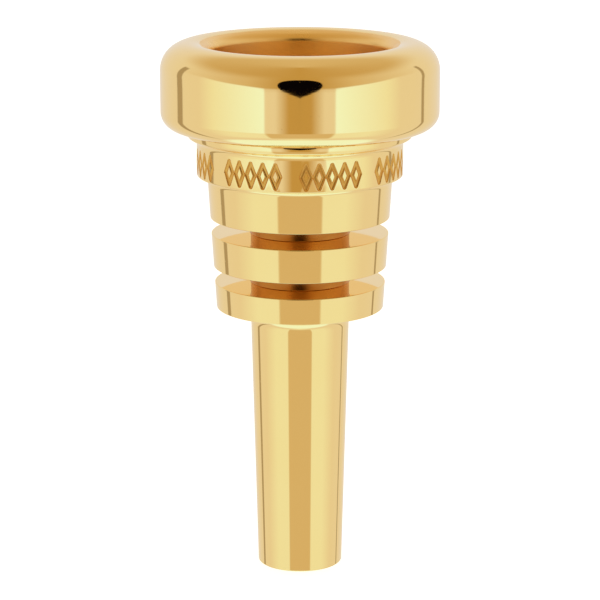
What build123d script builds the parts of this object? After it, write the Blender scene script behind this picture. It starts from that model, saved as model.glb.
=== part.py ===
"""Large-shank trombone mouthpiece in gold-plated brass that screws apart into three pieces.

From the bottom up: a tapered shank with the backbore, a cup body with two grooves and a band,
and a cushion-shaped rim. A fine screw thread joins each pair, and a soft ring seals each thread.
Millimetres. The Z axis is the bore's axis, and the origin is the centre of the shank's end face.
"""

from math import atan2, cos, degrees, radians, sin, sqrt, tan

from build123d import *

# ---------------------------------------------------------------- heights of the main faces
SHANK_SEAT_Z = 39.05        # the shank's shoulder meets the cup body's underside here
RIM_SEAT_Z = 65.20          # the cup body's shoulder meets the rim's underside here
SEAT_GAP = 0.02             # hairline left between faces that meet

# ---------------------------------------------------------------- shank
TIP_R = 6.19                # outside radius at the end face
TAPER_PER_MM = 0.026        # growth of the outside radius per millimetre: about 1 in 19 on diameter
TIP_ROUND = 0.25
BACKBORE_END_R = 5.25
BACKBORE_TOP_R = 3.60
BACKBORE_MID_R = 4.10       # the backbore widens slowly at first, then faster towards its end
BACKBORE_MID_Z = 26.0
SHOULDER_FLANGE_R = 9.4
SHOULDER_FLANGE_EDGE = 0.5
SHOULDER_FILLET = 1.9

# ---------------------------------------------------------------- cup body, outside
BODY_BOTTOM_R = 12.14       # radius of the lowest ring at its underside
BODY_TAPER_PER_MM = 0.0631  # all three rings lie on one cone
GROOVE_ZS = ((42.84, 45.13), (50.03, 52.33))
GROOVE_CORE_R = 7.15       # the grooves are cut this deep, which takes most of the weight out of the body
RING_EDGE = 0.15
BAND_R = 14.87
BAND_BOTTOM_Z = 58.50
BAND_TOP_Z = 63.10
BAND_EDGE = 0.25
BAND_COVE = 0.9             # hollow under the band
BEAD_R = 16.15
BEAD_BOTTOM_Z = 64.10
BEAD_EDGE = 0.3

# ---------------------------------------------------------------- cup and throat
THROAT_R = 3.55
THROAT_ROUND = 3.5          # rounding where the bowl runs into the throat
THROAT_CORNER_Z = 53.02
BOWL_SLOPE = 30.0           # degrees from level, low in the bowl
BOWL_ROUND = 11.2
WALL_LEAN = 3.0             # the cup's upper wall leans out from the axis by this many degrees

# ---------------------------------------------------------------- rim
RIM_R = 20.0
RIM_WALL_BOTTOM_Z = 67.83
RIM_WALL_TOP_Z = 73.79
RIM_BOTTOM_ROUND = 2.4
RIM_BOTTOM_SWEEP = 72.0     # degrees turned by the lower corner before the underside starts
RIM_SEAT_OUTER_R = 16.3
RIM_SHOULDER_ROUND = 3.78   # outer shoulder of the cushion
RIM_SHOULDER_SWEEP = 55.0
RIM_CREST_ROUND = 4.69      # crown of the cushion
BITE_ROUND = 1.5            # rounding of the inner edge
BITE_R = 12.80              # the cup's opening

# ---------------------------------------------------------------- the two screw joints
PITCH = 1.0
TOOTH_HEIGHT = 0.55
TOOTH_ROOT_WIDTH = 0.62
TOOTH_CREST_WIDTH = 0.15
THREAD_CLEARANCE = 0.12
SEAL_CLEARANCE = 0.05
LAND = 0.3                  # width of the plain lands beside each seal's groove
THREAD_RELIEF = 0.25        # plain neck between the upper land and the first tooth
LEAD_IN = 0.3               # chamfer at the top of each spigot
HALF_TURN = 0.5             # an inside thread starts half a turn higher and is half a turn shorter

RIM_SCREW_R = 14.15         # crest radius of the male thread
RIM_SCREW_TURNS = 3.5
RIM_SCREW_TOP_Z = 71.9
RIM_SEAL_THICK = 1.2

SHANK_SCREW_R = 5.70
SHANK_SCREW_TURNS = 4.5
SHANK_SCREW_TOP_Z = 46.5
SHANK_SEAL_THICK = 0.9

MOUTH_OVERRUN = 1.0         # how far a cutting shape stands past the face that it opens


def body_r(z):
    """Outside radius of the cup body's cone at height z."""
    return BODY_BOTTOM_R + BODY_TAPER_PER_MM * (z - SHANK_SEAT_Z)


def shank_r(z):
    """Outside radius of the shank's taper at height z."""
    return TIP_R + TAPER_PER_MM * z


def first_tooth_z(seat_z, seal_thick):
    """Height of the first tooth's middle on a spigot that starts at seat_z."""
    land_top = seat_z + 2 * LAND + seal_thick + 2 * SEAL_CLEARANCE
    return land_top + THREAD_RELIEF + TOOTH_ROOT_WIDTH / 2


# ---------------------------------------------------------------- the rim's section
shoulder_centre = (RIM_R - RIM_SHOULDER_ROUND, RIM_WALL_TOP_Z)
crest_offset = RIM_SHOULDER_ROUND - RIM_CREST_ROUND
crest_centre = (
    shoulder_centre[0] + crest_offset * cos(radians(RIM_SHOULDER_SWEEP)),
    shoulder_centre[1] + crest_offset * sin(radians(RIM_SHOULDER_SWEEP)),
)
bite_offset = RIM_CREST_ROUND - BITE_ROUND
bite_centre_r = BITE_R + BITE_ROUND
bite_centre_z = crest_centre[1] + sqrt(bite_offset**2 - (crest_centre[0] - bite_centre_r) ** 2)
bite_centre = (bite_centre_r, bite_centre_z)
bite_start_angle = degrees(atan2(bite_centre_z - crest_centre[1], bite_centre_r - crest_centre[0]))
wall_angle = 180.0 - WALL_LEAN
wall_top = (
    bite_centre_r + BITE_ROUND * cos(radians(wall_angle)),
    bite_centre_z + BITE_ROUND * sin(radians(wall_angle)),
)


def wall_r(z):
    """Radius of the cup's upper wall at height z."""
    return wall_top[0] - (wall_top[1] - z) * tan(radians(WALL_LEAN))


def rim_edges(builder, radius, z):
    """The round edges of a turned piece that have this radius and lie at this height."""
    return builder.edges().filter_by(
        lambda edge: edge.geom_type == GeomType.CIRCLE
        and abs(edge.radius - radius) < SEAT_GAP / 2
        and abs(edge.center().Z - z) < SEAT_GAP / 2
    )


def thread_ridge(wall_radius, direction, first_z, turns):
    """One helical tooth on a wall: direction is +1 for an outside thread and -1 for an inside one."""
    with BuildPart() as ridge:
        with BuildLine() as helix:
            Helix(PITCH, PITCH * turns, wall_radius, center=(0, 0, first_z))
        start = Plane(origin=helix.line @ 0, x_dir=(1, 0, 0), z_dir=helix.line % 0)
        root_half = TOOTH_ROOT_WIDTH / 2
        crest_half = TOOTH_CREST_WIDTH / 2
        flank = (root_half - crest_half) / TOOTH_HEIGHT
        buried = TOOTH_HEIGHT / 2
        buried_half = root_half + flank * buried
        with BuildSketch(start):
            with BuildLine():
                Polyline(
                    (-direction * buried, -buried_half),
                    (direction * TOOTH_HEIGHT, -crest_half),
                    (direction * TOOTH_HEIGHT, crest_half),
                    (-direction * buried, buried_half),
                    close=True,
                )
            make_face()
        sweep(is_frenet=True)
    return ridge.part


def spigot_outline(seat_z, crest_r, seal_thick, top_z):
    """Outside of a male spigot from its seat up: land, seal groove, land, thread root, chamfer."""
    root_r = crest_r - TOOTH_HEIGHT
    groove_r = crest_r + THREAD_CLEARANCE - seal_thick - 2 * SEAL_CLEARANCE
    groove_bottom = seat_z + LAND
    groove_top = groove_bottom + seal_thick + 2 * SEAL_CLEARANCE
    land_top = groove_top + LAND
    return [
        (crest_r, seat_z),
        (crest_r, groove_bottom),
        (groove_r, groove_bottom),
        (groove_r, groove_top),
        (crest_r, groove_top),
        (crest_r, land_top),
        (root_r, land_top),
        (root_r, top_z - LEAD_IN),
        (root_r - LEAD_IN, top_z),
    ]


# ================================================================ shank
shank_spigot = spigot_outline(SHANK_SEAT_Z - SEAT_GAP, SHANK_SCREW_R, SHANK_SEAL_THICK, SHANK_SCREW_TOP_Z)
shank_thread_z = first_tooth_z(SHANK_SEAT_Z, SHANK_SEAL_THICK)
flange_top = SHANK_SEAT_Z - SEAT_GAP
flange_bottom = flange_top - SHOULDER_FLANGE_EDGE
fillet_start_z = flange_bottom - SHOULDER_FILLET
fillet_end_r = shank_r(fillet_start_z) + SHOULDER_FILLET

with BuildPart() as shank:
    with BuildSketch(Plane.XZ):
        with BuildLine():
            bore = Spline(
                (BACKBORE_TOP_R, SHANK_SCREW_TOP_Z),
                (BACKBORE_MID_R, BACKBORE_MID_Z),
                (BACKBORE_END_R, 0),
            )
            end_face = Line(bore @ 1, (TIP_R, 0))
            taper = Line(end_face @ 1, (shank_r(fillet_start_z), fillet_start_z))
            hollow = RadiusArc(taper @ 1, (fillet_end_r, flange_bottom), SHOULDER_FILLET)
            Polyline(
                hollow @ 1,
                (SHOULDER_FLANGE_R, flange_bottom),
                (SHOULDER_FLANGE_R, flange_top),
                *shank_spigot,
                bore @ 0,
            )
        make_face()
    revolve(axis=Axis.Z)
    fillet(rim_edges(shank, TIP_R, 0), TIP_ROUND)
    add(thread_ridge(SHANK_SCREW_R - TOOTH_HEIGHT, 1, shank_thread_z, SHANK_SCREW_TURNS))
shank.part.label = "shank"
export_step(shank.part, "parts/shank.step")

# ================================================================ cup body
cup_spigot = spigot_outline(RIM_SEAT_Z - SEAT_GAP, RIM_SCREW_R, RIM_SEAL_THICK, RIM_SCREW_TOP_Z)
rim_thread_z = first_tooth_z(RIM_SEAT_Z, RIM_SEAL_THICK)
shoulder_top = RIM_SEAT_Z - SEAT_GAP
bead_cove = BEAD_BOTTOM_Z - BAND_TOP_Z
cove_bottom_z = BAND_BOTTOM_Z - BAND_COVE
socket_r = SHANK_SCREW_R + THREAD_CLEARANCE
socket_top = SHANK_SCREW_TOP_Z + SEAT_GAP

# where the low slope of the bowl, running up from the throat, would meet the upper wall
slope_tan = tan(radians(BOWL_SLOPE))
lean_tan = tan(radians(WALL_LEAN))
bowl_corner_r = (wall_r(THROAT_CORNER_Z) - THROAT_R * slope_tan * lean_tan) / (1 - slope_tan * lean_tan)
bowl_corner_z = THROAT_CORNER_Z + (bowl_corner_r - THROAT_R) * slope_tan

with BuildPart() as cup_body:
    with BuildSketch(Plane.XZ):
        with BuildLine():
            lower_wall = Polyline(
                (0, SHANK_SEAT_Z),
                (BODY_BOTTOM_R, SHANK_SEAT_Z),
                (body_r(cove_bottom_z), cove_bottom_z),
            )
            band_cove = RadiusArc(
                lower_wall @ 1,
                (body_r(cove_bottom_z) + BAND_COVE, BAND_BOTTOM_Z),
                BAND_COVE,
            )
            band_wall = Polyline(band_cove @ 1, (BAND_R, BAND_BOTTOM_Z), (BAND_R, BAND_TOP_Z))
            cove = RadiusArc(band_wall @ 1, (BAND_R + bead_cove, BEAD_BOTTOM_Z), bead_cove)
            Polyline(
                cove @ 1,
                (BEAD_R, BEAD_BOTTOM_Z),
                (BEAD_R, shoulder_top),
                *cup_spigot,
                (0, RIM_SCREW_TOP_Z),
                (0, SHANK_SEAT_Z),
            )
        make_face()
    revolve(axis=Axis.Z)
    fillet(rim_edges(cup_body, BEAD_R, BEAD_BOTTOM_Z) + rim_edges(cup_body, BEAD_R, shoulder_top), BEAD_EDGE)

    # grooves between the rings
    for groove_bottom, groove_top in GROOVE_ZS:
        with BuildSketch(Plane.XY.offset(groove_bottom)):
            Circle(body_r(groove_top) + MOUTH_OVERRUN)
            Circle(GROOVE_CORE_R, mode=Mode.SUBTRACT)
        extrude(amount=groove_top - groove_bottom, mode=Mode.SUBTRACT)
    for ring_face_z in (SHANK_SEAT_Z, *GROOVE_ZS[0], *GROOVE_ZS[1]):
        chamfer(rim_edges(cup_body, body_r(ring_face_z), ring_face_z), RING_EDGE)
    chamfer(rim_edges(cup_body, BAND_R, BAND_BOTTOM_Z), BAND_EDGE)

    # cup, throat and the socket for the shank
    with BuildSketch(Plane.XZ):
        with BuildLine():
            inside = FilletPolyline(
                (THROAT_R, socket_top),
                (THROAT_R, THROAT_CORNER_Z),
                (bowl_corner_r, bowl_corner_z),
                (wall_r(RIM_SCREW_TOP_Z + MOUTH_OVERRUN), RIM_SCREW_TOP_Z + MOUTH_OVERRUN),
                radius=[THROAT_ROUND, BOWL_ROUND],
            )
            Polyline(
                inside @ 1,
                (0, RIM_SCREW_TOP_Z + MOUTH_OVERRUN),
                (0, SHANK_SEAT_Z - MOUTH_OVERRUN),
                (socket_r, SHANK_SEAT_Z - MOUTH_OVERRUN),
                (socket_r, socket_top),
                inside @ 0,
            )
        make_face()
    revolve(axis=Axis.Z, mode=Mode.SUBTRACT)
    add(thread_ridge(RIM_SCREW_R - TOOTH_HEIGHT, 1, rim_thread_z, RIM_SCREW_TURNS))
    add(thread_ridge(socket_r, -1, shank_thread_z + HALF_TURN * PITCH, SHANK_SCREW_TURNS - HALF_TURN))
cup_body.part.label = "cup_body"
export_step(cup_body.part, "parts/cup_body.step")

# ================================================================ rim
bore_r = RIM_SCREW_R + THREAD_CLEARANCE
bore_top = RIM_SCREW_TOP_Z + SEAT_GAP
corner_centre = (RIM_R - RIM_BOTTOM_ROUND, RIM_WALL_BOTTOM_Z)
crest_sweep = bite_start_angle - RIM_SHOULDER_SWEEP

with BuildPart() as rim:
    with BuildSketch(Plane.XZ):
        with BuildLine():
            corner = CenterArc(corner_centre, RIM_BOTTOM_ROUND, -RIM_BOTTOM_SWEEP, RIM_BOTTOM_SWEEP)
            Line(corner @ 1, (RIM_R, RIM_WALL_TOP_Z))
            CenterArc(shoulder_centre, RIM_SHOULDER_ROUND, 0, RIM_SHOULDER_SWEEP)
            CenterArc(crest_centre, RIM_CREST_ROUND, RIM_SHOULDER_SWEEP, crest_sweep)
            bite = CenterArc(bite_centre, BITE_ROUND, bite_start_angle, wall_angle - bite_start_angle)
            Polyline(
                bite @ 1,
                (wall_r(bore_top), bore_top),
                (bore_r, bore_top),
                (bore_r, RIM_SEAT_Z),
                (RIM_SEAT_OUTER_R, RIM_SEAT_Z),
                corner @ 0,
            )
        make_face()
    revolve(axis=Axis.Z)
    add(thread_ridge(bore_r, -1, rim_thread_z + HALF_TURN * PITCH, RIM_SCREW_TURNS - HALF_TURN))
rim.part.label = "rim"
export_step(rim.part, "parts/rim.step")


# ================================================================ seal rings
def seal_ring(seat_z, crest_r, thickness):
    """Soft ring of round section that lies in a spigot's groove."""
    centre_r = crest_r + THREAD_CLEARANCE - SEAL_CLEARANCE - thickness / 2
    centre_z = seat_z - SEAT_GAP + LAND + SEAL_CLEARANCE + thickness / 2
    with BuildPart() as ring:
        with BuildSketch(Plane.XZ):
            with Locations((centre_r, centre_z)):
                Circle(thickness / 2)
        revolve(axis=Axis.Z)
    return ring


shank_seal_ring = seal_ring(SHANK_SEAT_Z, SHANK_SCREW_R, SHANK_SEAL_THICK)
shank_seal_ring.part.label = "shank_seal_ring"
export_step(shank_seal_ring.part, "parts/shank_seal_ring.step")

rim_seal_ring = seal_ring(RIM_SEAT_Z, RIM_SCREW_R, RIM_SEAL_THICK)
rim_seal_ring.part.label = "rim_seal_ring"
export_step(rim_seal_ring.part, "parts/rim_seal_ring.step")
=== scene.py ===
"""Looks of a gold-plated brass mouthpiece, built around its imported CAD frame.

Each brass piece is turned here as on a lathe: a section is drawn as an edge chain, spun round the
bore's axis, given its screw thread and, on the cup body, its engraved frieze.
Lengths are in millimetres until they reach Blender, which works in metres.
"""

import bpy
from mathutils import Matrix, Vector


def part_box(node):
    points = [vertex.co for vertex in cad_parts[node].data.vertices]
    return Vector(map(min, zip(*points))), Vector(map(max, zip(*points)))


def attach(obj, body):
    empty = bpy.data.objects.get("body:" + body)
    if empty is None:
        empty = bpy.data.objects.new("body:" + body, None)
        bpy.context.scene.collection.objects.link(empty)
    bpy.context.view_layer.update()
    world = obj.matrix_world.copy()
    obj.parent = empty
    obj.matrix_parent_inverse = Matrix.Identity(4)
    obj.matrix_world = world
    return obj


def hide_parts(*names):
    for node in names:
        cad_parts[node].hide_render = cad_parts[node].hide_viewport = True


bl_info = {
    "name": "Brass Mouthpiece",
    "version": (1, 0, 0),
    "blender": (4, 5, 0),
    "location": "View3D > Sidebar > Mouthpiece",
    "description": "Turns a three-piece brass mouthpiece and sets it in a plain studio",
    "category": "Object",
}

from math import acos, atan2, ceil, cos, degrees, hypot, pi, radians, sin, sqrt, tan

import bpy
from bpy.props import FloatProperty, FloatVectorProperty, IntProperty, PointerProperty
from mathutils import Matrix, Vector

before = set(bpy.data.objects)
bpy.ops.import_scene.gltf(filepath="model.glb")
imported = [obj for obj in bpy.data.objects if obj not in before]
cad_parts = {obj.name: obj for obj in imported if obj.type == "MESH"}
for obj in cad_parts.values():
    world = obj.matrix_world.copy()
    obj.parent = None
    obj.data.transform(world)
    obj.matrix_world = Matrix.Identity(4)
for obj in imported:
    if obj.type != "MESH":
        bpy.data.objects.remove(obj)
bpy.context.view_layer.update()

MM = 0.001

# ---------------------------------------------------------------- sizes read from the frame, in mm
SHANK_BOX = [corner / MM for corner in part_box("shank")]
CUP_BOX = [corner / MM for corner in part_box("cup_body")]
RIM_BOX = [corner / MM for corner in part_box("rim")]
SHANK_SEAT_Z = CUP_BOX[0].z
SHANK_SCREW_TOP_Z = SHANK_BOX[1].z
RIM_SEAT_Z = RIM_BOX[0].z
RIM_SCREW_TOP_Z = CUP_BOX[1].z
RIM_R = RIM_BOX[1].x
BEAD_R = CUP_BOX[1].x
FLANGE_R = SHANK_BOX[1].x
CREST_Z = RIM_BOX[1].z

# ---------------------------------------------------------------- turned sections, in mm
SEAT_GAP = 0.02
EDGE = 0.12                 # rounding that buffing leaves on a turned edge
FINE_EDGE = 0.05

TIP_R = 6.19
TAPER_PER_MM = 0.026
TIP_ROUND = 0.25
BACKBORE_R = (5.25, 4.10, 3.60)
BACKBORE_MID_Z = 26.0
FLANGE_EDGE = 0.5
SHANK_FILLET = 1.9

BODY_BOTTOM_R = 12.14
BODY_TAPER_PER_MM = 0.0631
GROOVE_ZS = ((42.84, 45.13), (50.03, 52.33))
GROOVE_CORE_R = 7.15
BAND_R = 14.87
BAND_ZS = (58.50, 63.10)
BAND_EDGE = 0.25
BAND_COVE = 0.9
BEAD_BOTTOM_Z = 64.10
BEAD_EDGE = 0.3

THROAT_R = 3.55
THROAT_ROUND = 3.5
THROAT_CORNER_Z = 53.02
BOWL_SLOPE = radians(30.0)
BOWL_ROUND = 11.2
WALL_LEAN = radians(3.0)

RIM_WALL_ZS = (67.83, 73.79)
CROWN_ROUND = 40.0          # the buff draws the wall's top in by this large radius
CROWN_SWEEP = 2.0
RIM_BOTTOM_ROUND = 2.4
RIM_BOTTOM_SWEEP = 72.0
RIM_SEAT_OUTER_R = 16.3
SHOULDER_ROUND = 3.78
SHOULDER_SWEEP = 55.0
CREST_ROUND = 4.69
BITE_ROUND = 1.5
BITE_R = 12.80

BAND_HALF = 2.1             # the frieze's strokes end within this height of the band's middle
LOZENGES = 5                # to a panel of the frieze
LOZENGE_SHARE = 0.158       # of a panel's width, from one lozenge to the next
LOZENGE_HALF_WIDTH = 0.66
LOZENGE_HALF_HEIGHT = 1.62
FRIEZE_START = radians(17.5)

PITCH = 1.0
TOOTH_HEIGHT = 0.55
TOOTH_ROOT = 0.62
TOOTH_CREST = 0.15
CLEARANCE = 0.12
SEAL_CLEARANCE = 0.05
LAND = 0.3
RELIEF = 0.25
RIM_SCREW = {"crest_r": 14.15, "turns": 3.5, "seal": 1.2}
SHANK_SCREW = {"crest_r": 5.70, "turns": 4.5, "seal": 0.9}
STEPS_PER_TURN = 96

BACKBORE_STEPS = 12
SHARP_ANGLE = radians(35)

# ---------------------------------------------------------------- finishes, sizes in mm
RING_SPACING = 0.35         # a finishing cut leaves 0.05 mm; drawn coarser, so that it shows
CLOUD_SIZE = 9.0
PIT_SPACING = 1.6
RUBBER_GRAIN = 0.12
PAPER_FIBRE = 2.0
PAPER_ROUGHNESS = 0.9
PAPER_GLOW = 0.75           # keeps the paper white where the studio light is dim

# Gold plate by finish: roughness, strength of the tool's rings, and two tones (None: the user's colours)
GOLD_FINISHES = {
    # buffed to a mirror: clean, warm yellow reflections
    "buffed_gold_plate": (0.04, 0.05, None),
    # plated as turned, where no buff reaches: rougher, so it blurs what it mirrors; its browner tone is
    # painted shade in the grooves
    "unbuffed_gold_plate_painted_shade": (0.20, 0.2, ("#D3934A", "#CC8840")),
    # plated over the engraver's cuts, with soft glints; its deeper yellow is painted shade in the strokes
    "engraved_gold_plate_painted_shade": (0.28, 0.3, ("#EBB75E", "#E2A952")),
    # brushed lightly inside the cup: an even sheen with no outlines in it, and a slightly deeper yellow
    # that is painted shade in the cup
    "satin_gold_plate_painted_shade": (0.26, 0.2, ("#FFD98C", "#FFD484")),
}

# ---------------------------------------------------------------- the studio, in degrees and metres
COOL_WHITE = "#CCE6FA"
SOFT_WHITE = "#C9D1D0"
PALE_GREY = "#C2BFBF"
STONE = "#B4A48C"
TAN = "#A38858"
STAND_COLOUR = "#92877A"
CAMERA_COLOUR = "#050306"
LIGHT_STRENGTH = 1.5
STANDS = ((-115.5, 4.0), (119.8, 2.2))      # bearing and half-width of each dark stand
STAND_EDGE = 0.8
CAMERA_HALF_WIDTH = 18.0
CAMERA_MIDDLE = 9.0
CAMERA_HALF_HEIGHT = 22.0
CAMERA_ROUNDNESS = 2.6
CAMERA_POINT = (-8.5, 3.6)                  # lowest point, and how far above it the shape is at its widest
# light round each band, by degrees from the front
CEILING_LIGHT = ((0, TAN), (175, STONE))
UPPER_WALL_LIGHT = ((0, TAN), (15, TAN), (45, STONE), (120, PALE_GREY), (175, PALE_GREY))
SOFT_BOX_LIGHT = (
    (0, TAN), (9, TAN), (20, PALE_GREY), (28, PALE_GREY),
    (29.5, COOL_WHITE), (75, SOFT_WHITE), (90, PALE_GREY), (175, PALE_GREY),
)
LOW_WALL_LIGHT = (
    (0, STONE), (27.5, STONE), (29, SOFT_WHITE), (60, SOFT_WHITE), (90, PALE_GREY), (175, PALE_GREY)
)
SKIRTING_LIGHT = ((0, SOFT_WHITE), (34, PALE_GREY), (175, PALE_GREY))
DOME_RADIUS = 2.0
DOME_HEIGHT = 0.9
FLOOR_RADIUS = 1.8


# ================================================================ properties
class MouthpieceShape(bpy.types.PropertyGroup):
    """Sizes that shape the visible surface"""

    turning_steps: IntProperty(
        name="Turning steps", description="Flats round each turned piece", default=320, min=32, max=720
    )
    stroke_width: FloatProperty(
        name="Stroke width",
        description="Width of the round-nosed cutter's stroke in the frieze",
        default=0.80 * MM,
        subtype="DISTANCE",
        unit="LENGTH",
    )
    stroke_depth: FloatProperty(
        name="Stroke depth",
        description="Depth of the frieze's strokes",
        default=0.20 * MM,
        subtype="DISTANCE",
        unit="LENGTH",
    )
    frieze_panels: IntProperty(
        name="Frieze panels", description="Panels of ornament round the band", default=8, min=1, max=12
    )


class MouthpieceFinish(bpy.types.PropertyGroup):
    """Colours of the finishes, as sRGB values"""

    gold: FloatVectorProperty(
        name="Gold plate", description="Reflection colour of the gold plate", subtype="COLOR_GAMMA",
        default=(1.0, 0.889, 0.616),
    )
    gold_deep: FloatVectorProperty(
        name="Deep gold", description="Gold plate where it is a little thicker", subtype="COLOR_GAMMA",
        default=(1.0, 0.875, 0.585),
    )
    rubber: FloatVectorProperty(
        name="Seal rubber", description="Black nitrile rubber", subtype="COLOR_GAMMA",
        default=(0.1, 0.1, 0.105),
    )


class MouthpieceStage(bpy.types.PropertyGroup):
    """The studio round the mouthpiece"""

    camera_distance: FloatProperty(
        name="Camera distance", description="Level distance from the bore's axis", default=0.3441,
        subtype="DISTANCE", unit="LENGTH",
    )
    camera_height: FloatProperty(
        name="Camera height", description="Height of the lens above the floor", default=0.1238,
        subtype="DISTANCE", unit="LENGTH",
    )
    camera_tilt: FloatProperty(
        name="Camera tilt", description="How far the lens points down", default=radians(13.72),
        subtype="ANGLE", unit="ROTATION",
    )
    lens: FloatProperty(
        name="Lens", description="Focal length on a 36 mm sensor", default=145.5, subtype="DISTANCE_CAMERA",
        unit="CAMERA",
    )


# ================================================================ sections
def arc(centre, radius, start, end, step=3.0):
    """Points of an arc in the section, from one angle to another in degrees."""
    steps = max(2, ceil(abs(end - start) / step))
    angles = [radians(start + (end - start) * i / steps) for i in range(steps + 1)]
    return [(centre[0] + radius * cos(a), centre[1] + radius * sin(a), 0.0) for a in angles]


def rounded(corners, step=15.0):
    """A closed outline whose corners (r, z, rounding) are replaced by short tangent arcs."""
    outline = []
    for i, (r, z, rounding) in enumerate(corners):
        corner = Vector((r, z))
        if rounding == 0:
            outline.append(corner)
            continue
        before = (Vector(corners[i - 1][:2]) - corner).normalized()
        after = (Vector(corners[(i + 1) % len(corners)][:2]) - corner).normalized()
        half = acos(before.dot(after)) / 2
        centre = corner + (before + after).normalized() * rounding / sin(half)
        start = corner + before * rounding / tan(half) - centre
        end = corner + after * rounding / tan(half) - centre
        turn = pi - 2 * half
        steps = max(2, ceil(degrees(turn) / step))
        for k in range(steps + 1):
            share = k / steps
            blend = start * sin((1 - share) * turn) + end * sin(share * turn)
            outline.append(centre + blend / sin(turn))
    return outline


def body_r(z):
    """Outside radius of the cup body's cone at height z."""
    return BODY_BOTTOM_R + BODY_TAPER_PER_MM * (z - SHANK_SEAT_Z)


def shank_r(z):
    """Outside radius of the shank's taper at height z."""
    return TIP_R + TAPER_PER_MM * z


def first_tooth_z(seat_z, screw):
    """Height of the first tooth's middle above a seat."""
    return seat_z + 2 * LAND + screw["seal"] + 2 * SEAL_CLEARANCE + RELIEF + TOOTH_ROOT / 2


def spigot(seat_z, top_z, screw):
    """Outside of a male spigot: land, seal groove, land, thread root and lead-in chamfer."""
    crest_r = screw["crest_r"]
    root_r = crest_r - TOOTH_HEIGHT
    groove_r = crest_r + CLEARANCE - screw["seal"] - 2 * SEAL_CLEARANCE
    groove = (seat_z + LAND, seat_z + LAND + screw["seal"] + 2 * SEAL_CLEARANCE)
    return [
        (crest_r, seat_z, 0),
        (crest_r, groove[0], FINE_EDGE),
        (groove_r, groove[0], FINE_EDGE),
        (groove_r, groove[1], FINE_EDGE),
        (crest_r, groove[1], FINE_EDGE),
        (crest_r, groove[1] + LAND, FINE_EDGE),
        (root_r, groove[1] + LAND, FINE_EDGE),
        (root_r, top_z - LAND, 0),
        (root_r - LAND, top_z, 0),
    ]


class RimSection:
    """The rim's arcs, each tangent to the next."""

    crown = (
        RIM_R - CROWN_ROUND,
        RIM_WALL_ZS[1] - (CROWN_ROUND - SHOULDER_ROUND) * sin(radians(CROWN_SWEEP)),
    )
    shoulder = (
        crown[0] + (CROWN_ROUND - SHOULDER_ROUND) * cos(radians(CROWN_SWEEP)),
        crown[1] + (CROWN_ROUND - SHOULDER_ROUND) * sin(radians(CROWN_SWEEP)),
    )
    crest = (
        shoulder[0] + (SHOULDER_ROUND - CREST_ROUND) * cos(radians(SHOULDER_SWEEP)),
        CREST_Z - CREST_ROUND,
    )
    bite_r = BITE_R + BITE_ROUND
    bite_z = crest[1] + sqrt((CREST_ROUND - BITE_ROUND) ** 2 - (crest[0] - bite_r) ** 2)
    bite_start = degrees(atan2(bite_z - crest[1], bite_r - crest[0]))
    bite_end = 180.0 - degrees(WALL_LEAN)
    wall_top = (bite_r + BITE_ROUND * cos(radians(bite_end)), bite_z + BITE_ROUND * sin(radians(bite_end)))


def wall_r(z):
    """Radius of the cup's upper wall at height z."""
    return RimSection.wall_top[0] - (RimSection.wall_top[1] - z) * tan(WALL_LEAN)


# ================================================================ modelling helpers
def deselect_all():
    """Leaves nothing selected, in object mode."""
    if bpy.context.object and bpy.context.object.mode != "OBJECT":
        bpy.ops.object.mode_set(mode="OBJECT")
    bpy.ops.object.select_all(action="DESELECT")


def select_only(piece):
    """Makes one piece the only selected and active one."""
    deselect_all()
    piece.select_set(True)
    bpy.context.view_layer.objects.active = piece


def select_where(piece, wanted):
    """Opens a piece in edit mode with just the vertices selected that pass a test."""
    select_only(piece)
    bpy.ops.object.mode_set(mode="EDIT")
    bpy.ops.mesh.select_mode(type="VERT")
    bpy.ops.mesh.select_all(action="DESELECT")
    bpy.ops.object.mode_set(mode="OBJECT")
    for vertex in piece.data.vertices:
        vertex.select = wanted(vertex)
    bpy.ops.object.mode_set(mode="EDIT")


def apply_modifier(piece, kind, **settings):
    """Adds a modifier, sets it and applies it to the mesh."""
    select_only(piece)
    modifier = piece.modifiers.new(kind.title(), kind)
    for name, value in settings.items():
        setattr(modifier, name, value)
    bpy.ops.object.modifier_apply(modifier=modifier.name)


def edge_chain(name, outline):
    """Draws a closed outline in the XZ plane by pulling one vertex from point to point."""
    deselect_all()
    bpy.ops.mesh.primitive_plane_add(size=1, location=(0, 0, 0))
    piece = bpy.context.object
    piece.name = name
    piece.data.name = name
    bpy.ops.object.mode_set(mode="EDIT")
    bpy.ops.mesh.select_all(action="SELECT")
    bpy.ops.mesh.merge(type="CENTER")
    points = [Vector((p[0] * MM, 0, p[1] * MM)) for p in outline]
    bpy.ops.transform.translate(value=points[0])
    for here, there in zip(points, points[1:]):
        bpy.ops.mesh.extrude_region_move(TRANSFORM_OT_translate={"value": there - here})
    bpy.ops.object.mode_set(mode="OBJECT")
    joints = [end for edge in piece.data.edges for end in edge.vertices]
    select_where(piece, lambda vertex: joints.count(vertex.index) == 1)
    bpy.ops.mesh.edge_face_add()
    bpy.ops.object.mode_set(mode="OBJECT")
    return piece


def tidy_shell(piece):
    """Merges doubles and points every face outwards."""
    select_only(piece)
    bpy.ops.object.mode_set(mode="EDIT")
    bpy.ops.mesh.select_all(action="SELECT")
    bpy.ops.mesh.remove_doubles(threshold=0.001 * MM)
    bpy.ops.mesh.normals_make_consistent(inside=False)
    bpy.ops.object.mode_set(mode="OBJECT")


def turned(name, outline, steps):
    """Spins a closed outline a full turn round the bore's axis."""
    piece = edge_chain(name, outline)
    bpy.ops.object.mode_set(mode="EDIT")
    bpy.ops.mesh.select_all(action="SELECT")
    bpy.ops.mesh.spin(steps=steps, angle=2 * pi, center=(0, 0, 0), axis=(0, 0, 1))
    bpy.ops.object.mode_set(mode="OBJECT")
    tidy_shell(piece)
    return piece


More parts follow.
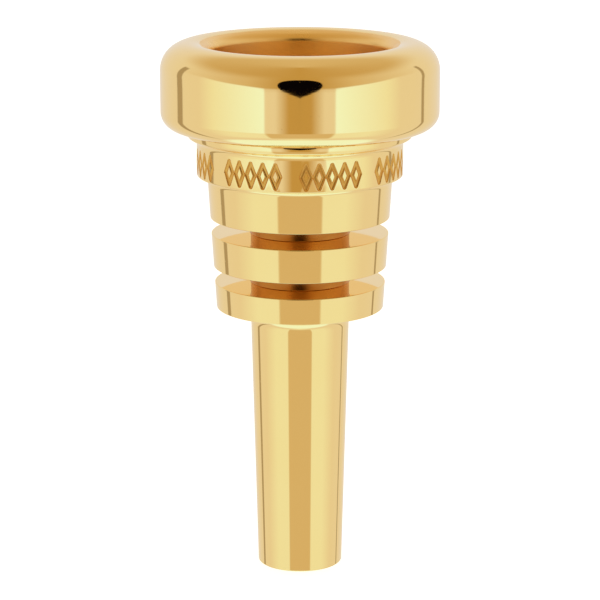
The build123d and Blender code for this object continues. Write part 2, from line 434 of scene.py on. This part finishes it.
def helical_tooth(wall_radius, direction, first_z, turns):
    """One screw tooth, sunk a little into its wall; direction is +1 outside a wall and -1 inside one."""
    flank = (TOOTH_ROOT - TOOTH_CREST) / 2 / TOOTH_HEIGHT
    buried = TOOTH_HEIGHT / 2
    half = TOOTH_ROOT / 2 + flank * buried
    section = [
        (wall_radius - direction * buried, first_z - half),
        (wall_radius + direction * TOOTH_HEIGHT, first_z - TOOTH_CREST / 2),
        (wall_radius + direction * TOOTH_HEIGHT, first_z + TOOTH_CREST / 2),
        (wall_radius - direction * buried, first_z + half),
    ]
    tooth = edge_chain("tooth", section)
    steps = round(STEPS_PER_TURN * turns)
    apply_modifier(
        tooth, "SCREW", angle=2 * pi * turns, screw_offset=PITCH * turns * MM, steps=steps,
        render_steps=steps,
    )
    bpy.ops.object.mode_set(mode="EDIT")
    bpy.ops.mesh.select_all(action="SELECT")
    bpy.ops.mesh.fill_holes(sides=len(section))
    bpy.ops.object.mode_set(mode="OBJECT")
    tidy_shell(tooth)
    return tooth


def combine(piece, other, operation):
    """Adds another solid to a piece or cuts it away, and removes the other."""
    faces = len(piece.data.polygons)
    apply_modifier(piece, "BOOLEAN", operation=operation, object=other, solver="MANIFOLD")
    if len(piece.data.polygons) == faces:
        raise RuntimeError(f"{piece.name}: the {operation.lower()} with {other.name} did nothing")
    bpy.data.objects.remove(other, do_unlink=True)


def finish_turned(piece, body, *nodes):
    """Smooths a turned piece, keeps its flats true, and puts it on its body in place of its CAD node."""
    select_only(piece)
    bpy.ops.object.shade_smooth_by_angle(angle=SHARP_ANGLE)
    apply_modifier(piece, "WEIGHTED_NORMAL", keep_sharp=True, weight=50)
    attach(piece, body)
    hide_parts(*nodes)


# ================================================================ materials
def linear(colour):
    """Turns sRGB values, or a hex colour, to the linear values that a shader takes."""
    if isinstance(colour, str):
        colour = [int(colour[i:i + 2], 16) / 255 for i in (1, 3, 5)]
    curve = [c / 12.92 if c <= 0.04045 else ((c + 0.055) / 1.055) ** 2.4 for c in colour]
    return (*curve, 1.0)


def add_node(tree, kind, settings=(), **inputs):
    """Adds a node, sets its properties, and links or sets its inputs by name or place."""
    node = tree.nodes.new(kind)
    for name, value in dict(settings).items():
        setattr(node, name, value)
    for name, value in inputs.items():
        key = int(name[1:]) if name[0] == "i" and name[1:].isdigit() else name.replace("_", " ")
        if isinstance(value, bpy.types.NodeSocket):
            tree.links.new(value, node.inputs[key])
        else:
            node.inputs[key].default_value = value
    return node


def new_material(name):
    """An empty node material with its shader and output."""
    material = bpy.data.materials.new(name)
    material.use_nodes = True
    tree = material.node_tree
    return material, tree, tree.nodes["Principled BSDF"]


def gold_plate(name):
    """Gold electroplate on turned brass, in one of the finishes.

    The eye gets metal reflections tinted yellow, faint rings left by the turning tool, a tone that
    wanders a little from place to place, and here and there a pinprick pit.
    """
    if name in bpy.data.materials:
        return bpy.data.materials[name]
    finish = bpy.context.scene.mouthpiece_finish
    roughness, ring_strength, tones = GOLD_FINISHES[name]
    light_tone, deep_tone = tones or (finish.gold, finish.gold_deep)
    material, tree, shader = new_material(name)
    place = add_node(tree, "ShaderNodeTexCoord").outputs["Object"]
    axes = add_node(tree, "ShaderNodeSeparateXYZ", i0=place)
    flat = add_node(tree, "ShaderNodeCombineXYZ", X=axes.outputs["X"], Y=axes.outputs["Y"])
    radius = add_node(tree, "ShaderNodeVectorMath", {"operation": "LENGTH"}, i0=flat.outputs[0])
    ring_place = add_node(tree, "ShaderNodeCombineXYZ", X=radius.outputs["Value"], Y=axes.outputs["Z"])
    rings = add_node(
        tree, "ShaderNodeTexNoise", {"noise_dimensions": "2D"},
        Vector=ring_place.outputs[0], Scale=1 / (RING_SPACING * MM), Detail=2.0,
    )
    cloud = add_node(tree, "ShaderNodeTexNoise", Vector=place, Scale=1 / (CLOUD_SIZE * MM), Detail=3.0)
    tone = add_node(
        tree, "ShaderNodeMix", {"data_type": "RGBA"},
        Factor=cloud.outputs[0], i6=linear(light_tone), i7=linear(deep_tone),
    )
    tree.links.new(tone.outputs[2], shader.inputs["Base Color"])
    shader.inputs["Metallic"].default_value = 1.0
    haze = add_node(
        tree, "ShaderNodeMapRange", Value=cloud.outputs[0],
        From_Min=0.35, From_Max=0.65, To_Min=roughness, To_Max=roughness * 1.6,
    )
    tree.links.new(haze.outputs[0], shader.inputs["Roughness"])
    cells = add_node(tree, "ShaderNodeTexVoronoi", Vector=place, Scale=1 / (PIT_SPACING * MM))
    pits = add_node(
        tree, "ShaderNodeMapRange", {"interpolation_type": "SMOOTHSTEP"},
        Value=cells.outputs["Distance"], From_Min=0.0, From_Max=0.05, To_Min=-1.0, To_Max=0.0,
    )
    ring_bump = add_node(
        tree, "ShaderNodeBump", Strength=ring_strength, Distance=0.01 * MM, Height=rings.outputs[0]
    )
    pit_bump = add_node(
        tree, "ShaderNodeBump", Strength=0.3, Distance=0.02 * MM, Height=pits.outputs[0],
        Normal=ring_bump.outputs[0],
    )
    tree.links.new(pit_bump.outputs[0], shader.inputs["Normal"])
    return material


def plate(piece):
    """Gives a turned piece the buffed gold plate all over."""
    piece.data.materials.clear()
    piece.data.materials.append(gold_plate("buffed_gold_plate"))


def refinish(piece, name, wanted):
    """Gives another finish to the faces whose middle, as (r, z) in mm, passes a test."""
    piece.data.materials.append(gold_plate(name))
    for polygon in piece.data.polygons:
        if wanted(hypot(*polygon.center[:2]) / MM, polygon.center.z / MM):
            polygon.material_index = len(piece.data.materials) - 1


def in_groove(r, z):
    """True on the floors of the two grooves, where no buff can reach; they get the browner tone of painted
    shade.
    """
    return abs(r - GROOVE_CORE_R) < EDGE and any(bottom < z < top for bottom, top in GROOVE_ZS)


def in_frieze(r, z):
    """True in the strokes of the frieze, which get the deeper yellow of painted shade."""
    return BAND_R - 0.5 < r < BAND_R - 0.01 and abs(z - sum(BAND_ZS) / 2) < BAND_HALF


def in_cup(r, z):
    """True inside the cup, from the bite down to the throat, which gets the slightly deeper yellow of
    painted shade.
    """
    on_bite = z > RimSection.bite_z and r < RimSection.bite_r
    return on_bite or (z > THROAT_CORNER_Z and r < wall_r(z) + EDGE)


def nitrile_rubber():
    """Moulded black nitrile rubber: dark, satin, with a fine matt grain."""
    finish = bpy.context.scene.mouthpiece_finish
    material, tree, shader = new_material("moulded_nitrile_rubber")
    place = add_node(tree, "ShaderNodeTexCoord").outputs["Object"]
    grain = add_node(tree, "ShaderNodeTexNoise", Vector=place, Scale=1 / (RUBBER_GRAIN * MM), Detail=2.0)
    shade = add_node(
        tree, "ShaderNodeMix", {"data_type": "RGBA"},
        Factor=grain.outputs[0], i6=linear(finish.rubber), i7=linear("#26262A"),
    )
    tree.links.new(shade.outputs[2], shader.inputs["Base Color"])
    shader.inputs["Roughness"].default_value = 0.5
    bump = add_node(tree, "ShaderNodeBump", Strength=0.3, Distance=0.02 * MM, Height=grain.outputs[0])
    tree.links.new(bump.outputs[0], shader.inputs["Normal"])
    return material


def matt_paper():
    """White seamless background paper: matt, with a barely visible fibre."""
    material, tree, shader = new_material("matt_white_paper")
    place = add_node(tree, "ShaderNodeTexCoord").outputs["Object"]
    fibre = add_node(tree, "ShaderNodeTexNoise", Vector=place, Scale=1 / (PAPER_FIBRE * MM), Detail=4.0)
    shade = add_node(
        tree, "ShaderNodeMix", {"data_type": "RGBA"},
        Factor=fibre.outputs[0], i6=linear("#FFFFFF"), i7=linear("#F8F8F8"),
    )
    tree.links.new(shade.outputs[2], shader.inputs["Base Color"])
    shader.inputs["Roughness"].default_value = PAPER_ROUGHNESS
    shader.inputs["Emission Color"].default_value = linear("#FFFFFF")
    shader.inputs["Emission Strength"].default_value = PAPER_GLOW
    return material


# ================================================================ the pieces
class MOUTHPIECE_OT_shank(bpy.types.Operator):
    """Turn the tapered shank with its backbore, fillet and male thread"""

    bl_idname = "mouthpiece.shank"
    bl_label = "Shank"

    def execute(self, context):
        shape = context.scene.mouthpiece_shape
        top = SHANK_SEAT_Z - SEAT_GAP
        under = top - FLANGE_EDGE
        start_z = under - SHANK_FILLET
        centre = (shank_r(start_z) + SHANK_FILLET, start_z)
        bore = []
        for i in range(BACKBORE_STEPS + 1):
            z = SHANK_SCREW_TOP_Z * (1 - i / BACKBORE_STEPS)
            share = z / SHANK_SCREW_TOP_Z
            mid = BACKBORE_MID_Z / SHANK_SCREW_TOP_Z
            end_r, mid_r, top_r = BACKBORE_R
            # the one parabola through the bore's three radii
            bow = (mid_r - end_r - (top_r - end_r) * mid) / (mid * (mid - 1))
            bore.append((end_r + (top_r - end_r) * share + bow * share * (share - 1), z, 0))
        bore[-1] = (*bore[-1][:2], FINE_EDGE)
        outline = rounded([
            *bore,
            (TIP_R, 0, TIP_ROUND),
            *arc(centre, SHANK_FILLET, 180, 90),
            (FLANGE_R, under, FINE_EDGE),
            (FLANGE_R, top, FINE_EDGE),
            *spigot(top, SHANK_SCREW_TOP_Z, SHANK_SCREW),
        ])
        shank = turned("turned_shank", outline, shape.turning_steps)
        root_r = SHANK_SCREW["crest_r"] - TOOTH_HEIGHT
        tooth_z = first_tooth_z(SHANK_SEAT_Z, SHANK_SCREW)
        combine(shank, helical_tooth(root_r, 1, tooth_z, SHANK_SCREW["turns"]), "UNION")
        plate(shank)
        finish_turned(shank, "shank", "shank")
        return {"FINISHED"}


class MOUTHPIECE_OT_cup_body(bpy.types.Operator):
    """Turn the cup body with its rings, band and bead, thread it and engrave its frieze"""

    bl_idname = "mouthpiece.cup_body"
    bl_label = "Cup body"

    def rings(self):
        """Outside of the three rings, from the underside up."""
        corners = [(BODY_BOTTOM_R, SHANK_SEAT_Z, EDGE)]
        for bottom, top in GROOVE_ZS:
            corners += [
                (body_r(bottom), bottom, EDGE),
                (GROOVE_CORE_R, bottom, EDGE),
                (GROOVE_CORE_R, top, EDGE),
                (body_r(top), top, EDGE),
            ]
        return corners

    def execute(self, context):
        shape = context.scene.mouthpiece_shape
        band_bottom, band_top = BAND_ZS
        cove_z = band_bottom - BAND_COVE
        bead_cove = BEAD_BOTTOM_Z - band_top
        shoulder = RIM_SEAT_Z - SEAT_GAP
        slope, lean = tan(BOWL_SLOPE), tan(WALL_LEAN)
        corner_r = (wall_r(THROAT_CORNER_Z) - THROAT_R * slope * lean) / (1 - slope * lean)
        corner_z = THROAT_CORNER_Z + (corner_r - THROAT_R) * slope
        socket_r = SHANK_SCREW["crest_r"] + CLEARANCE
        socket_top = SHANK_SCREW_TOP_Z + SEAT_GAP
        bowl = rounded([
            (wall_r(RIM_SCREW_TOP_Z), RIM_SCREW_TOP_Z, FINE_EDGE),
            (corner_r, corner_z, BOWL_ROUND),
            (THROAT_R, THROAT_CORNER_Z, THROAT_ROUND),
            (THROAT_R, socket_top, 0),
            (socket_r, socket_top, 0),
            (socket_r, SHANK_SEAT_Z, 0),
            (BODY_BOTTOM_R, SHANK_SEAT_Z, 0),
            (BODY_BOTTOM_R, RIM_SCREW_TOP_Z, 0),
        ], step=4.0)[:-2]
        outline = rounded([
            *self.rings(),
            *arc((body_r(cove_z) + BAND_COVE, cove_z), BAND_COVE, 180, 90, 6.0),
            (BAND_R, band_bottom, BAND_EDGE),
            *arc((BAND_R + bead_cove, band_top), bead_cove, 180, 90, 6.0),
            (BEAD_R, BEAD_BOTTOM_Z, BEAD_EDGE),
            (BEAD_R, shoulder, FINE_EDGE),
            *spigot(shoulder, RIM_SCREW_TOP_Z, RIM_SCREW),
            *[(p[0], p[1], 0) for p in bowl],
        ])
        body = turned("turned_cup_body", outline, shape.turning_steps)
        rim_tooth_z = first_tooth_z(RIM_SEAT_Z, RIM_SCREW)
        root_r = RIM_SCREW["crest_r"] - TOOTH_HEIGHT
        combine(body, helical_tooth(root_r, 1, rim_tooth_z, RIM_SCREW["turns"]), "UNION")
        shank_tooth_z = first_tooth_z(SHANK_SEAT_Z, SHANK_SCREW) + PITCH / 2
        combine(body, helical_tooth(socket_r, -1, shank_tooth_z, SHANK_SCREW["turns"] - 0.5), "UNION")
        combine(body, frieze_cutter(shape), "DIFFERENCE")
        plate(body)
        # the groove floors get a rougher finish and a browner tone, which is painted shade in the grooves
        refinish(body, "unbuffed_gold_plate_painted_shade", in_groove)
        # the frieze's strokes get a deeper yellow, which is painted shade in the engraved hollows
        refinish(body, "engraved_gold_plate_painted_shade", in_frieze)
        # inside the cup: a satin sheen and a slightly deeper yellow, which is painted shade in the hollow
        refinish(body, "satin_gold_plate_painted_shade", in_cup)
        finish_turned(body, "cup_body", "cup_body")
        return {"FINISHED"}


def cutter_stroke(length, shape):
    """The hollow that a round-nosed cutter leaves in one stroke: a round-ended bar, upright on Z."""
    radius = shape.stroke_width / 2
    deselect_all()
    bpy.ops.mesh.primitive_uv_sphere_add(segments=16, ring_count=8, radius=radius)
    bar = bpy.context.object
    select_where(bar, lambda vertex: vertex.co.z > radius * 0.1)
    bpy.ops.transform.translate(value=(0, 0, length * MM / 2))
    select_where(bar, lambda vertex: vertex.co.z <= radius * 0.1)
    bpy.ops.transform.translate(value=(0, 0, -length * MM / 2))
    bpy.ops.object.mode_set(mode="OBJECT")
    return bar


def copied(piece, *places):
    """Copies of a piece, each with its own mesh moved to its place."""
    copies = []
    for place in places:
        copy = piece.copy()
        copy.data = piece.data.copy()
        copy.data.transform(place)
        bpy.context.collection.objects.link(copy)
        copies.append(copy)
    bpy.data.objects.remove(piece, do_unlink=True)
    return copies


def joined(pieces):
    """Joins pieces into the first one."""
    deselect_all()
    for piece in pieces:
        piece.select_set(True)
    bpy.context.view_layer.objects.active = pieces[0]
    bpy.ops.object.join()
    return pieces[0]


def frieze_cutter(shape):
    """Everything that is cut out of the band: panels of tall lozenges, point to point in a row."""
    out = BAND_R * MM - shape.stroke_depth + shape.stroke_width / 2
    middle = sum(BAND_ZS) / 2
    panel = 2 * pi / shape.frieze_panels
    pitch = panel * LOZENGE_SHARE
    side = hypot(LOZENGE_HALF_HEIGHT, LOZENGE_HALF_WIDTH)
    lean = atan2(LOZENGE_HALF_WIDTH, LOZENGE_HALF_HEIGHT)

    def place(angle, rise, tilt=0.0):
        turn = Matrix.Rotation(angle, 4, "Z")
        return turn @ Matrix.Translation((out, 0, (middle + rise) * MM)) @ Matrix.Rotation(tilt, 4, "X")

    centres = [(i - (LOZENGES - 1) / 2) * pitch for i in range(LOZENGES)]
    shift = LOZENGE_HALF_WIDTH / 2 / BAND_R
    sides = [
        place(centre + across * shift, up * LOZENGE_HALF_HEIGHT / 2, across * up * lean)
        for centre in centres for across in (-1, 1) for up in (-1, 1)
    ]
    strokes = copied(cutter_stroke(side, shape), *sides)
    for stroke in strokes[1:]:
        combine(strokes[0], stroke, "UNION")
    turns = [Matrix.Rotation(FRIEZE_START + i * panel, 4, "Z") for i in range(shape.frieze_panels)]
    return joined(copied(strokes[0], *turns))


class MOUTHPIECE_OT_rim(bpy.types.Operator):
    """Turn the cushion rim and cut its inside thread"""

    bl_idname = "mouthpiece.rim"
    bl_label = "Rim"

    def execute(self, context):
        shape = context.scene.mouthpiece_shape
        section = RimSection
        bore_r = RIM_SCREW["crest_r"] + CLEARANCE
        bore_top = RIM_SCREW_TOP_Z + SEAT_GAP
        outline = rounded([
            *arc((RIM_R - RIM_BOTTOM_ROUND, RIM_WALL_ZS[0]), RIM_BOTTOM_ROUND, -RIM_BOTTOM_SWEEP, 0),
            *arc(section.crown, CROWN_ROUND, 0, CROWN_SWEEP, 0.25)[:-1],
            *arc(section.shoulder, SHOULDER_ROUND, CROWN_SWEEP, SHOULDER_SWEEP)[:-1],
            *arc(section.crest, CREST_ROUND, SHOULDER_SWEEP, section.bite_start)[:-1],
            *arc((section.bite_r, section.bite_z), BITE_ROUND, section.bite_start, section.bite_end),
            (wall_r(bore_top), bore_top, FINE_EDGE),
            (bore_r, bore_top, 0),
            (bore_r, RIM_SEAT_Z, EDGE),
            (RIM_SEAT_OUTER_R, RIM_SEAT_Z, EDGE),
        ])
        rim = turned("turned_rim", outline, shape.turning_steps)
        tooth_z = first_tooth_z(RIM_SEAT_Z, RIM_SCREW) + PITCH / 2
        combine(rim, helical_tooth(bore_r, -1, tooth_z, RIM_SCREW["turns"] - 0.5), "UNION")
        plate(rim)
        # inside the rim: a satin sheen and a slightly deeper yellow, which is painted shade in the cup
        refinish(rim, "satin_gold_plate_painted_shade", in_cup)
        finish_turned(rim, "rim", "rim")
        return {"FINISHED"}


class MOUTHPIECE_OT_seal_rings(bpy.types.Operator):
    """Give the two seal rings their rubber"""

    bl_idname = "mouthpiece.seal_rings"
    bl_label = "Seal rings"

    def execute(self, context):
        rubber = nitrile_rubber()
        for name in ("rim_seal_ring", "shank_seal_ring"):
            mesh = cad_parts[name].data
            mesh.materials.clear()
            mesh.materials.append(rubber)
        return {"FINISHED"}


# ================================================================ the stage
def studio_light():
    """A small white studio: a soft box on each side, a warm wall in front and a tan ceiling.

    Two dark stands show as thin upright lines, and the camera as a black shape in the front wall.
    """
    world = bpy.data.worlds.new("soft_studio")
    bpy.context.scene.world = world
    world.use_nodes = True
    tree = world.node_tree
    background = tree.nodes["Background"]
    smooth = {"interpolation_type": "SMOOTHSTEP"}

    # bearing from the front, 0 to 1 right round, and height, both from the direction of sight
    direction = add_node(tree, "ShaderNodeTexCoord").outputs["Generated"]
    x, y, z = add_node(tree, "ShaderNodeSeparateXYZ", i0=direction).outputs
    front = add_node(tree, "ShaderNodeMath", {"operation": "MULTIPLY"}, i0=y, i1=-1.0)
    turn = add_node(tree, "ShaderNodeMath", {"operation": "ARCTAN2"}, i0=x, i1=front.outputs[0])
    signed = add_node(
        tree, "ShaderNodeMath", {"operation": "MULTIPLY"}, i0=turn.outputs[0], i1=degrees(1)
    ).outputs[0]
    off_front = add_node(tree, "ShaderNodeMath", {"operation": "ABSOLUTE"}, i0=signed).outputs[0]
    bearing = add_node(tree, "ShaderNodeMath", {"operation": "MULTIPLY_ADD"}, i0=signed, i1=1 / 360, i2=0.5)
    rise = add_node(tree, "ShaderNodeMath", {"operation": "ARCSINE"}, i0=z)
    height = add_node(
        tree, "ShaderNodeMath", {"operation": "MULTIPLY"}, i0=rise.outputs[0], i1=degrees(1)
    ).outputs[0]

    # the soft boxes stand higher at the sides than in front
    box_top = add_node(
        tree, "ShaderNodeMapRange", Value=off_front, From_Min=28.0, From_Max=85.0, To_Min=-5.0, To_Max=12.0
    )
    over_boxes = add_node(
        tree, "ShaderNodeMath", {"operation": "SUBTRACT"}, i0=height, i1=box_top.outputs[0]
    ).outputs[0]

    # bands of light from the floor up: each covers the one below between two heights,
    # and has the same colours to the left and right
    light = linear(COOL_WHITE)
    bands = (
        (height, -62, -54, SKIRTING_LIGHT),
        (height, -52, -38, LOW_WALL_LIGHT),
        (height, -16, -12, SOFT_BOX_LIGHT),
        (over_boxes, -2, 3, UPPER_WALL_LIGHT),
        (height, 26, 50, CEILING_LIGHT),
    )
    for measure, low, high, stops in bands:
        band = add_node(tree, "ShaderNodeValToRGB", Fac=bearing.outputs[0])
        elements = band.color_ramp.elements
        elements.remove(elements[1])
        elements[0].position = 0.0
        elements[0].color = linear(stops[-1][1])
        both_sides = [(-angle, colour) for angle, colour in reversed(stops[1:])] + list(stops)
        for angle, colour in both_sides[1:]:
            elements.new(0.5 + angle / 360).color = linear(colour)
        share = add_node(
            tree, "ShaderNodeMapRange", smooth,
            Value=measure, From_Min=low, From_Max=high, To_Min=0.0, To_Max=1.0,
        )
        light = add_node(
            tree, "ShaderNodeMix", {"data_type": "RGBA"},
            Factor=share.outputs[0], i6=light, i7=band.outputs[0],
        ).outputs[2]

    for side, half_width in STANDS:
        offset = add_node(tree, "ShaderNodeMath", {"operation": "SUBTRACT"}, i0=signed, i1=side)
        share = add_node(tree, "ShaderNodeMath", {"operation": "ABSOLUTE"}, i0=offset.outputs[0])
        stand = 1.0
        edges = (
            (share.outputs[0], half_width + STAND_EDGE, half_width - STAND_EDGE),
            (height, 26, 22),
            (height, -60, -40),
        )
        for measure, outside, inside in edges:
            part = add_node(
                tree, "ShaderNodeMapRange", smooth,
                Value=measure, From_Min=outside, From_Max=inside, To_Min=0.0, To_Max=1.0,
            )
            stand = add_node(
                tree, "ShaderNodeMath", {"operation": "MULTIPLY"}, i0=part.outputs[0], i1=stand
            ).outputs[0]
        light = add_node(
            tree, "ShaderNodeMix", {"data_type": "RGBA"}, Factor=stand, i6=light, i7=linear(STAND_COLOUR)
        ).outputs[2]

    # the camera: a rounded shape above, drawn to a point below
    power = {"operation": "POWER"}
    across = add_node(
        tree, "ShaderNodeMath", {"operation": "DIVIDE"}, i0=off_front, i1=CAMERA_HALF_WIDTH
    ).outputs[0]
    above = add_node(tree, "ShaderNodeMath", {"operation": "SUBTRACT"}, i0=height, i1=CAMERA_MIDDLE)
    up = add_node(
        tree, "ShaderNodeMath", {"operation": "DIVIDE"}, i0=above.outputs[0], i1=CAMERA_HALF_HEIGHT
    )
    off_middle = add_node(tree, "ShaderNodeMath", {"operation": "ABSOLUTE"}, i0=up.outputs[0])
    wide = add_node(tree, "ShaderNodeMath", power, i0=across, i1=CAMERA_ROUNDNESS)
    tall = add_node(tree, "ShaderNodeMath", power, i0=off_middle.outputs[0], i1=CAMERA_ROUNDNESS)
    rounded_part = add_node(
        tree, "ShaderNodeMath", {"operation": "ADD"}, i0=wide.outputs[0], i1=tall.outputs[0]
    )
    lowest, spread = CAMERA_POINT
    taper = add_node(
        tree, "ShaderNodeMath", {"operation": "MULTIPLY_ADD"},
        i0=height, i1=1 / spread, i2=-lowest / spread - 1,
    )
    pointed_part = add_node(
        tree, "ShaderNodeMath", {"operation": "SUBTRACT"}, i0=across, i1=taper.outputs[0]
    )
    edge = add_node(
        tree, "ShaderNodeMath", {"operation": "MAXIMUM"},
        i0=rounded_part.outputs[0], i1=pointed_part.outputs[0],
    )
    share = add_node(
        tree, "ShaderNodeMapRange", smooth,
        Value=edge.outputs[0], From_Min=1.06, From_Max=0.96, To_Min=0.0, To_Max=1.0,
    )
    light = add_node(
        tree, "ShaderNodeMix", {"data_type": "RGBA"},
        Factor=share.outputs[0], i6=light, i7=linear(CAMERA_COLOUR),
    ).outputs[2]

    tree.links.new(light, background.inputs["Color"])
    background.inputs["Strength"].default_value = LIGHT_STRENGTH


class MOUTHPIECE_OT_stage(bpy.types.Operator):
    """Set the floor, the soft light and the camera"""

    bl_idname = "mouthpiece.stage"
    bl_label = "Stage"

    def execute(self, context):
        stage = context.scene.mouthpiece_stage
        studio_light()
        deselect_all()
        bpy.ops.mesh.primitive_uv_sphere_add(
            segments=64, ring_count=32, radius=DOME_RADIUS, location=(0, 0, DOME_HEIGHT)
        )
        dome = context.object
        dome.name = "white_dome"
        glow, tree, shader = new_material("white_backdrop")
        light = add_node(tree, "ShaderNodeEmission", Color=(1, 1, 1, 1), Strength=1.0)
        tree.links.new(light.outputs[0], tree.nodes["Material Output"].inputs["Surface"])
        dome.data.materials.append(glow)
        dome.visible_glossy = False
        dome.visible_diffuse = False
        dome.visible_shadow = False

        deselect_all()
        bpy.ops.mesh.primitive_circle_add(
            vertices=96, radius=FLOOR_RADIUS, fill_type="NGON", location=(0, 0, 0)
        )
        floor = context.object
        floor.name = "paper_floor"
        floor.data.materials.append(matt_paper())
        floor.visible_glossy = False

        bpy.ops.object.camera_add()
        camera = context.object
        camera.location = (0, -stage.camera_distance, stage.camera_height)
        camera.rotation_euler = (pi / 2 - stage.camera_tilt, 0, 0)
        camera.data.lens = stage.lens
        camera.data.sensor_width = 36
        camera.data.clip_start = 0.01
        camera.data.clip_end = 10
        context.scene.camera = camera
        context.scene.view_settings.view_transform = "Standard"
        return {"FINISHED"}


class MOUTHPIECE_PT_sidebar(bpy.types.Panel):
    """Lists the mouthpiece's pieces and sizes"""

    bl_label = "Mouthpiece"
    bl_space_type = "VIEW_3D"
    bl_region_type = "UI"
    bl_category = "Mouthpiece"

    def draw(self, context):
        for group in ("mouthpiece_shape", "mouthpiece_finish", "mouthpiece_stage"):
            settings = getattr(context.scene, group)
            for name in settings.__annotations__:
                self.layout.prop(settings, name)
        for operator in OPERATORS:
            self.layout.operator(operator.bl_idname)


GROUPS = {
    "mouthpiece_shape": MouthpieceShape,
    "mouthpiece_finish": MouthpieceFinish,
    "mouthpiece_stage": MouthpieceStage,
}
OPERATORS = (
    MOUTHPIECE_OT_shank,
    MOUTHPIECE_OT_cup_body,
    MOUTHPIECE_OT_rim,
    MOUTHPIECE_OT_seal_rings,
    MOUTHPIECE_OT_stage,
)


def register():
    for name, group in GROUPS.items():
        bpy.utils.register_class(group)
        setattr(bpy.types.Scene, name, PointerProperty(type=group))
    for operator in OPERATORS:
        bpy.utils.register_class(operator)
    bpy.utils.register_class(MOUTHPIECE_PT_sidebar)


def unregister():
    bpy.utils.unregister_class(MOUTHPIECE_PT_sidebar)
    for operator in reversed(OPERATORS):
        bpy.utils.unregister_class(operator)
    for name, group in GROUPS.items():
        delattr(bpy.types.Scene, name)
        bpy.utils.unregister_class(group)


def main():
    register()
    bpy.ops.mouthpiece.shank()
    bpy.ops.mouthpiece.cup_body()
    bpy.ops.mouthpiece.rim()
    bpy.ops.mouthpiece.seal_rings()
    bpy.ops.mouthpiece.stage()


if __name__ == "__main__":
    main()
